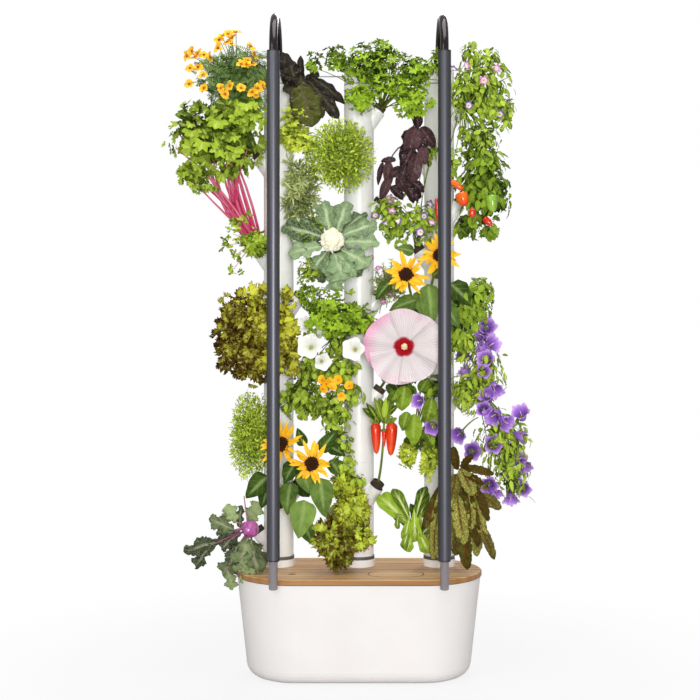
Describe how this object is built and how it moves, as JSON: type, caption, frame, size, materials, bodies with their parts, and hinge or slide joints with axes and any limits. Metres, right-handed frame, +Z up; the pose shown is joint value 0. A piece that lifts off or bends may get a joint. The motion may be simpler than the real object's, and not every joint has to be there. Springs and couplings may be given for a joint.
{
  "type": "vertical hydroponic garden",
  "caption": "Upright indoor hydroponic garden: a white water tank under a wooden lid carries stacked white grow columns full of plants, with dark lamp bars arching over the front.",
  "frame": {"origin": "centre of the tank's flat underside, on the floor", "axes": "+Z up, -Y to the front where the lamps stand, +X to the right as seen from the front"},
  "size_m": [0.8941, 0.32, 1.626],
  "materials": {
    "tank_plastic": "satin off-white moulded plastic",
    "pad_rubber": "matte grey rubber",
    "seal_rubber": "matte black rubber",
    "lid_wood": "oiled warm wood, grain along the length",
    "cover_wood": "oiled warm wood, grain along the length",
    "plug_wood": "oiled warm wood",
    "column_plastic": "satin white moulded plastic",
    "ring_rubber": "matte grey rubber",
    "fitting_plastic": "grey moulded plastic",
    "tie_metal": "grey satin metal",
    "hose_rubber": "milky soft hose",
    "pump_plastic": "black moulded plastic",
    "impeller_plastic": "white moulded plastic",
    "pod_plastic": "dark brown moulded plastic",
    "lamp_metal": "dark grey anodised extrusion",
    "board_plastic": "white coated circuit board",
    "diffuser_plastic": "frosted white plastic",
    "lamp_trim": "black moulded plastic",
    "arch_metal": "polished dark anodised tube",
    "foot_plastic": "smoky clear plastic",
    "leaf_fern": "living fine-cut leaf",
    "stem_magenta": "living smooth stalk",
    "leaf_bronze": "living frilled leaf, bronze over green",
    "leaf_lime": "living fine leaf",
    "leaf_purple_green": "living waxy leaf, purple stalks",
    "leaf_maroon": "living dark red leaf",
    "leaf_grey_green": "living needle leaf",
    "leaf_bright": "living cut leaf",
    "petal_white": "living petal",
    "petal_yellow": "living petal",
    "leaf_blue_green": "living waxy leaf",
    "petal_orange": "living petal",
    "leaf_frilled": "living frilled leaf with brown edges",
    "petal_violet": "living petal",
    "petal_pink": "living petal",
    "fruit_red": "waxy fruit skin",
    "leaf_dark_purple": "living quilted leaf",
    "leaf_basil": "living glossy leaf",
    "leaf_bok_choy": "living ribbed leaf",
    "fruit_orange": "waxy fruit skin",
    "petal_purple": "living petal",
    "leaf_veined": "living leaf with dark red veins"
  },
  "bodies": {
    "base": {"tank": "tank_plastic", "tank_pads": "pad_rubber", "lid_seal": "seal_rubber", "tank_lid": "lid_wood", "lid_plug": "plug_wood", "column_collars": "column_plastic", "collar_seals": "ring_rubber", "left_column": "column_plastic", "centre_column": "column_plastic", "right_column": "column_plastic", "drip_discs": "fitting_plastic", "column_caps": "column_plastic", "tie_rods": "tie_metal", "riser_hoses": "hose_rubber", "manifold": "fitting_plastic", "level_sensor": "fitting_plastic", "pump_housing": "pump_plastic", "pump_cover": "pump_plastic", "pump_strainer": "pump_plastic", "pods": "pod_plastic", "marigold": "leaf_fern", "red_celery": "stem_magenta", "leaf_lettuce": "leaf_bronze", "cress": "leaf_lime", "red_romaine": "leaf_maroon", "rosemary": "leaf_grey_green", "parsley": "leaf_bright", "petunia": "petal_white", "sunflowers": "petal_yellow", "cauliflower": "leaf_blue_green", "pansy": "petal_orange", "frilled_lettuce": "leaf_frilled", "torenias": "petal_violet", "hibiscus": "petal_pink", "purple_basil": "leaf_dark_purple", "basil": "leaf_basil", "pepper_bush": "fruit_orange", "bellflowers": "petal_purple", "red_sorrel": "leaf_veined"},
    "access_cover": {"access_cover": "cover_wood"},
    "left_lamp": {"left_lamp_housing": "lamp_metal", "left_led_board": "board_plastic", "left_diffuser": "diffuser_plastic", "left_lamp_caps": "lamp_trim", "left_arch": "arch_metal", "left_foot": "foot_plastic"},
    "right_lamp": {"right_lamp_housing": "lamp_metal", "right_led_board": "board_plastic", "right_diffuser": "diffuser_plastic", "right_lamp_caps": "lamp_trim", "right_arch": "arch_metal", "right_foot": "foot_plastic"},
    "impeller": {"pump_impeller": "impeller_plastic"},
    "kohlrabi": {"kohlrabi": "leaf_purple_green", "kohlrabi_pod": "pod_plastic"},
    "bok_choy": {"bok_choy": "leaf_bok_choy", "bok_choy_pod": "pod_plastic"},
    "chilli": {"chilli_pepper": "fruit_red", "chilli_pod": "pod_plastic"}
  },
  "joints": [
    {"name": "access_cover_lift", "type": "slide", "parent": "base", "child": "access_cover", "axis": [0, 0, 1], "range_m": [0, 0.035]},
    {"name": "left_lamp_lift", "type": "slide", "parent": "base", "child": "left_lamp", "axis": [0, 0, 1], "range_m": [0, 0.045]},
    {"name": "right_lamp_lift", "type": "slide", "parent": "base", "child": "right_lamp", "axis": [0, 0, 1], "range_m": [0, 0.045]},
    {"name": "impeller_spin", "type": "hinge", "parent": "base", "child": "impeller", "pos_m": [-0.09, 0.059, 0.034], "axis": [1, 0, 0], "continuous": true},
    {"name": "kohlrabi_pull", "type": "slide", "parent": "base", "child": "kohlrabi", "axis": [-0.5736, 0, 0.8192], "range_m": [0, 0.05]},
    {"name": "bok_choy_pull", "type": "slide", "parent": "base", "child": "bok_choy", "axis": [-0.5736, 0, 0.8192], "range_m": [0, 0.05]},
    {"name": "chilli_pull", "type": "slide", "parent": "base", "child": "chilli", "axis": [0.5198, -0.2424, 0.8192], "range_m": [0, 0.05]}
  ]
}
